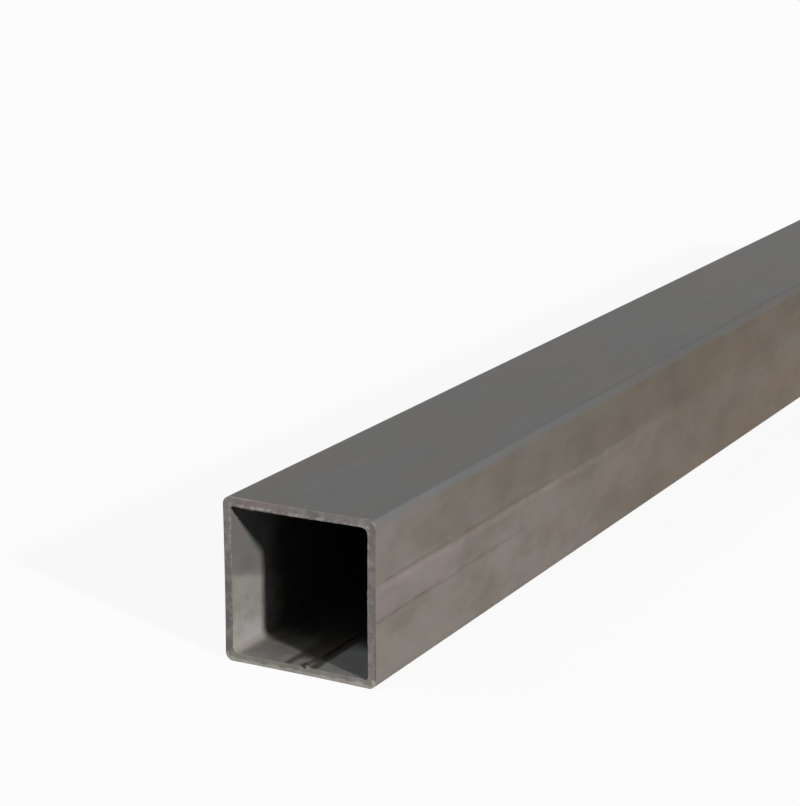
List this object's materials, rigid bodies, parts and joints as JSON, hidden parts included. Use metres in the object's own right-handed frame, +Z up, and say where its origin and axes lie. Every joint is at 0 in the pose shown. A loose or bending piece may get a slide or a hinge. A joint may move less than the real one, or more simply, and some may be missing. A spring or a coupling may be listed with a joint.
{
  "type": "square steel tube",
  "caption": "Square hollow steel tube with rounded corners, open sawn ends and a weld bead along the inside.",
  "frame": {"origin": "on the floor, under the middle of the tube's length and width", "axes": "+Y along the tube, from the end nearest the camera to the far end; +Z up, square to the top face; +X square to the right face as seen from the near end"},
  "size_m": [0.08, 1, 0.08],
  "materials": {
    "bare_steel": "as-rolled cold-formed mild steel, dull dark warm grey, lightly oxidised, with paler sawn ends"
  },
  "bodies": {
    "root": {"square_tube": "bare_steel"}
  },
  "joints": []
}
